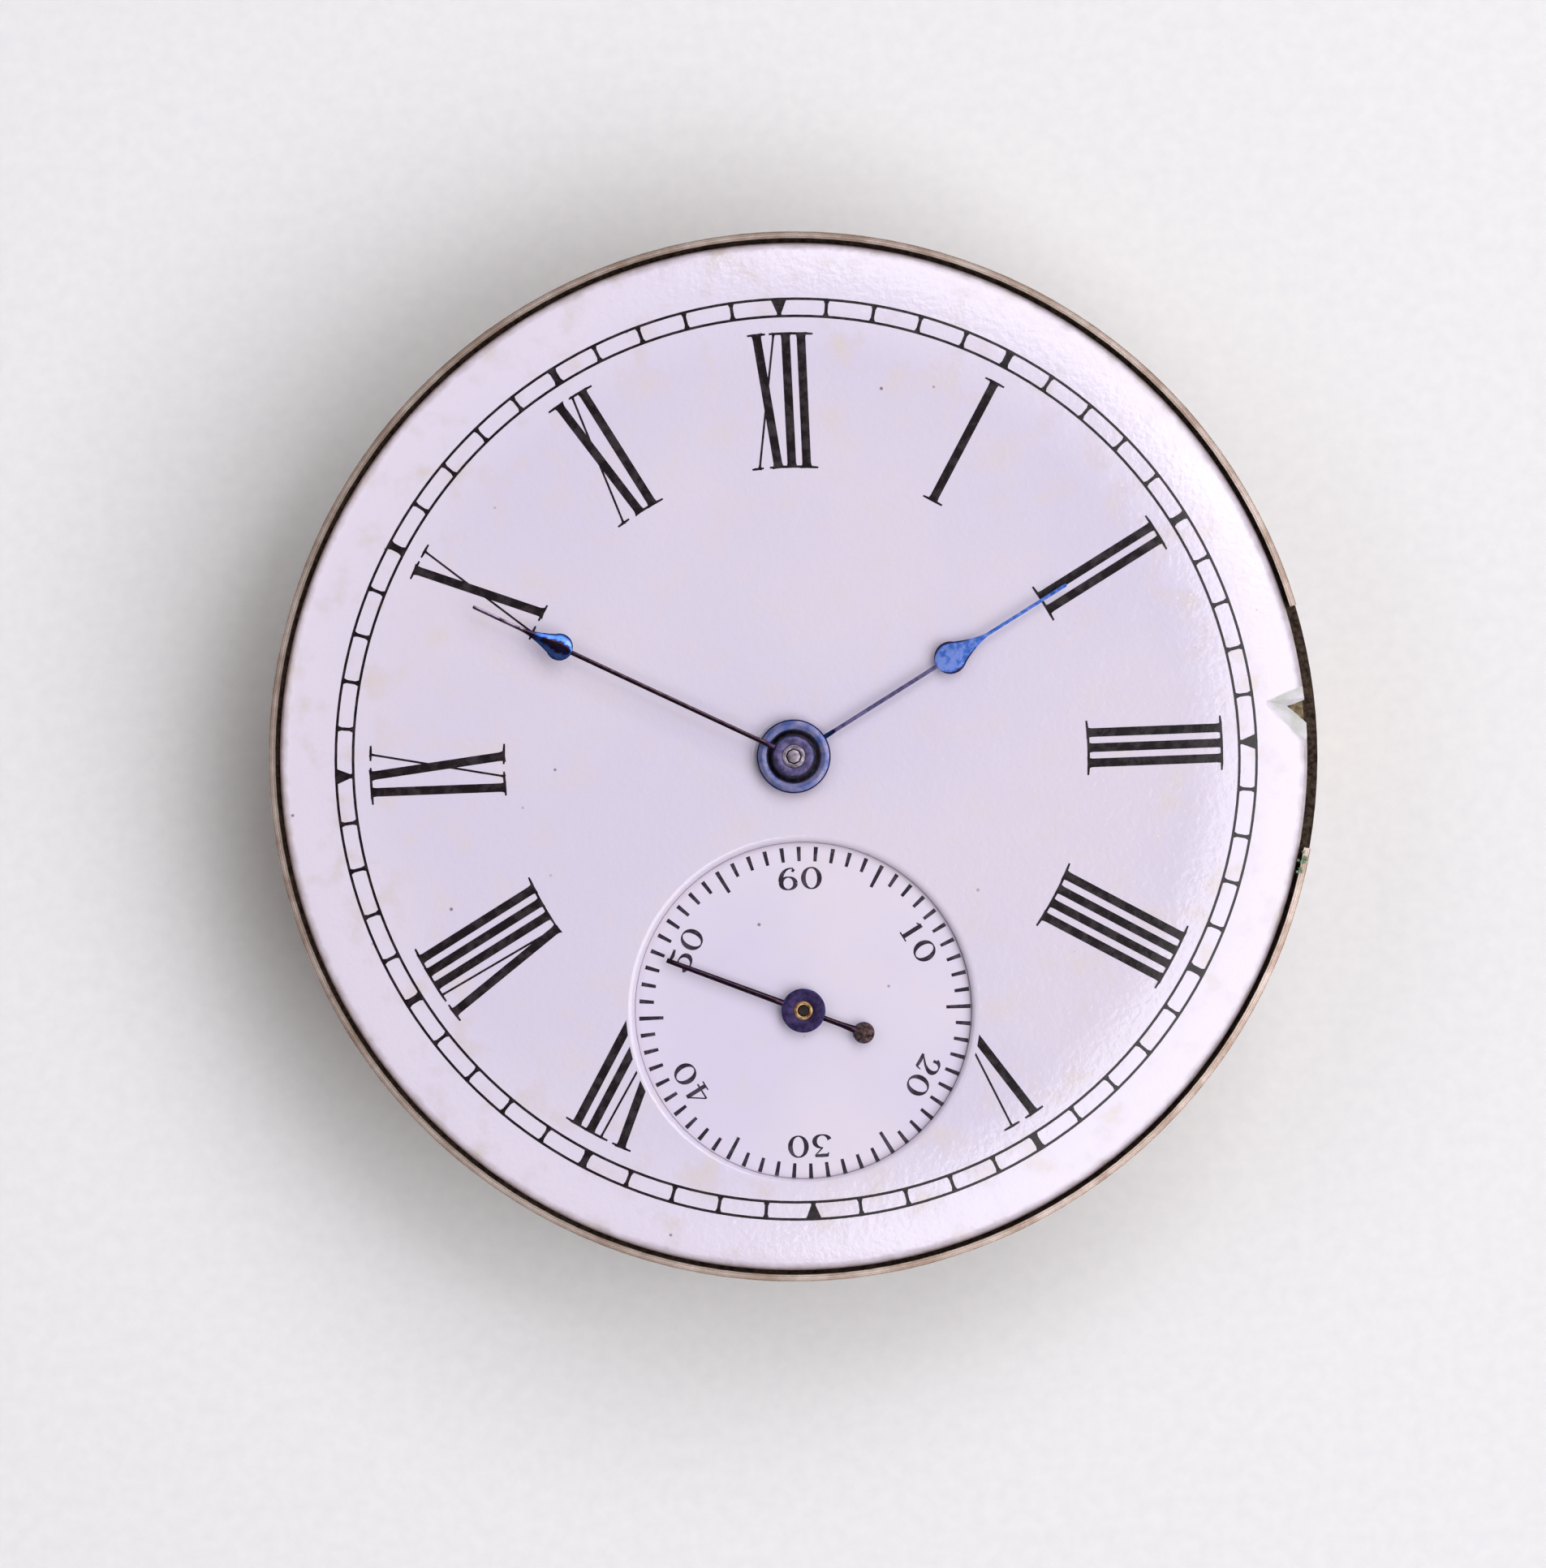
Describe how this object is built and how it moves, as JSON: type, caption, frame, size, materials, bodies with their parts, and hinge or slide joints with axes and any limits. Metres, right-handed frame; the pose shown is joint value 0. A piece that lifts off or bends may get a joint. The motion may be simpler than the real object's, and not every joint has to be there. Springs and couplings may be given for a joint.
{
  "type": "watch dial on its movement",
  "caption": "Pocket-watch movement under a white enamel dial with sunk seconds, blued hands, winding wheels, train, lever escapement and balance.",
  "frame": {"origin": "on the hand arbor's axis, at the height of the case's seat under the pillar plate's lip", "axes": "+Z out of the dial along the hand arbor, +Y towards twelve, +X towards three, where the stem enters"},
  "size_m": [0.0348, 0.0348, 0.0086],
  "materials": {
    "gilt_plate": "frosted gilt brass with a nickel-bright lip",
    "nickel_plate": "damaskeened nickel",
    "polished_steel": "polished tempered steel",
    "blued_steel": "heat-blued steel",
    "wheel_brass": "gilt brass, cut teeth",
    "copper": "bare copper",
    "white_enamel": "fired white enamel, glossy",
    "ruby": "polished synthetic-looking red garnet",
    "spring_steel": "blued spring steel"
  },
  "bodies": {
    "movement": {"pillar_plate": "gilt_plate", "plate_pillars": "gilt_plate", "stem_bearings": "polished_steel", "top_plate": "nickel_plate", "plate_screws": "polished_steel", "dial_copper": "copper", "dial_enamel": "white_enamel", "seconds_bit": "white_enamel", "dial_foot_screws": "polished_steel", "minute_wheel_stud": "polished_steel", "dial_washer": "wheel_brass", "mainspring": "spring_steel", "escapement_bridge": "nickel_plate", "hairspring": "spring_steel", "hairspring_stud": "polished_steel", "balance_cock": "nickel_plate", "cap_setting": "wheel_brass", "cap_jewel": "ruby", "balance_jewels": "ruby", "crown_core": "polished_steel", "click_screw": "blued_steel", "click_spring": "polished_steel"},
    "hour": {"hour_wheel": "wheel_brass", "hour_hand": "blued_steel"},
    "cannon": {"cannon_pinion": "polished_steel", "minute_hand": "blued_steel"},
    "minute": {"minute_wheel": "wheel_brass", "minute_pinion": "polished_steel"},
    "barrel": {"barrel_drum": "wheel_brass", "barrel_cover": "wheel_brass"},
    "centre": {"centre_wheel": "wheel_brass", "centre_arbor": "polished_steel"},
    "third": {"third_wheel": "wheel_brass", "third_arbor": "polished_steel"},
    "fourth": {"fourth_wheel": "wheel_brass", "fourth_arbor": "polished_steel", "seconds_hand": "blued_steel", "seconds_pipe": "wheel_brass"},
    "escape": {"escape_wheel": "wheel_brass", "escape_arbor": "polished_steel"},
    "pallets": {"pallet_lever": "polished_steel", "pallet_stones": "ruby", "pallet_arbor": "polished_steel"},
    "balance": {"balance_wheel": "wheel_brass", "balance_screws": "wheel_brass", "balance_staff": "polished_steel", "roller": "polished_steel", "impulse_pin": "ruby", "collet": "wheel_brass"},
    "regulator": {"regulator": "polished_steel"},
    "winding_arbor": {"barrel_arbor": "polished_steel", "ratchet_wheel": "polished_steel", "ratchet_screw": "blued_steel"},
    "crown": {"crown_wheel": "polished_steel"},
    "stem_pinion": {"winding_pinion": "polished_steel"},
    "click": {"click": "polished_steel"}
  },
  "joints": [
    {"name": "hands_turn", "type": "hinge", "parent": "movement", "child": "cannon", "pos_m": [0, 0, 0.00055], "axis": [0, 0, 1], "continuous": true},
    {"name": "hour_turn", "type": "hinge", "parent": "movement", "child": "hour", "pos_m": [0, 0, 0.00055], "axis": [0, 0, 1], "continuous": true},
    {"name": "minute_wheel_turn", "type": "hinge", "parent": "movement", "child": "minute", "pos_m": [0.00254, 0.00092, 0.00005], "axis": [0, 0, 1], "continuous": true},
    {"name": "fourth_turn", "type": "hinge", "parent": "movement", "child": "fourth", "pos_m": [0, -0.0084, -0.00245], "axis": [0, 0, 1], "continuous": true},
    {"name": "centre_turn", "type": "hinge", "parent": "movement", "child": "centre", "pos_m": [0, 0, -0.00245], "axis": [0, 0, 1], "continuous": true},
    {"name": "third_turn", "type": "hinge", "parent": "movement", "child": "third", "pos_m": [0.00296, -0.00478, -0.00245], "axis": [0, 0, 1], "continuous": true},
    {"name": "escape_turn", "type": "hinge", "parent": "movement", "child": "escape", "pos_m": [-0.00324, -0.00611, -0.00245], "axis": [0, 0, 1], "continuous": true},
    {"name": "barrel_turn", "type": "hinge", "parent": "movement", "child": "barrel", "pos_m": [0.00557, 0.00557, -0.00245], "axis": [0, 0, 1], "continuous": true},
    {"name": "winding_turn", "type": "hinge", "parent": "movement", "child": "winding_arbor", "pos_m": [0.00557, 0.00557, -0.00535], "axis": [0, 0, 1], "continuous": true},
    {"name": "crown_turn", "type": "hinge", "parent": "movement", "child": "crown", "pos_m": [0.01199, 0, -0.00535], "axis": [0, 0, 1], "continuous": true},
    {"name": "stem_pinion_turn", "type": "hinge", "parent": "movement", "child": "stem_pinion", "pos_m": [0.01469, 0, -0.0034], "axis": [1, 0, 0], "continuous": true},
    {"name": "lever_rock", "type": "hinge", "parent": "movement", "child": "pallets", "pos_m": [-0.00548, -0.00452, -0.00285], "axis": [0, 0, 1], "range_deg": [-5, 5]},
    {"name": "balance_swing", "type": "hinge", "parent": "movement", "child": "balance", "pos_m": [-0.0082, -0.0026, -0.00435], "axis": [0, 0, 1], "range_deg": [-270, 270], "stiffness_Nm_per_rad": 0.0000015, "deforming": ["hairspring"]},
    {"name": "regulator_swing", "type": "hinge", "parent": "movement", "child": "regulator", "pos_m": [-0.0082, -0.0026, -0.00585], "axis": [0, 0, 1], "range_deg": [-15, 15]},
    {"name": "click_lift", "type": "hinge", "parent": "movement", "child": "click", "pos_m": [0.00232, 0.0112, -0.00535], "axis": [0, 0, 1], "range_deg": [-9, 9], "stiffness_Nm_per_rad": 0.00001}
  ],
  "couplings": [
    {"joint": "hour_turn", "follows": "hands_turn", "ratio": 0.083333},
    {"joint": "minute_wheel_turn", "follows": "hands_turn", "ratio": -0.33333},
    {"joint": "third_turn", "follows": "fourth_turn", "ratio": -0.13333},
    {"joint": "centre_turn", "follows": "fourth_turn", "ratio": 0.016667},
    {"joint": "barrel_turn", "follows": "fourth_turn", "ratio": -0.0027778},
    {"joint": "escape_turn", "follows": "fourth_turn", "ratio": -10},
    {"joint": "crown_turn", "follows": "winding_turn", "ratio": -1.5},
    {"joint": "stem_pinion_turn", "follows": "winding_turn", "ratio": -2.5714}
  ]
}
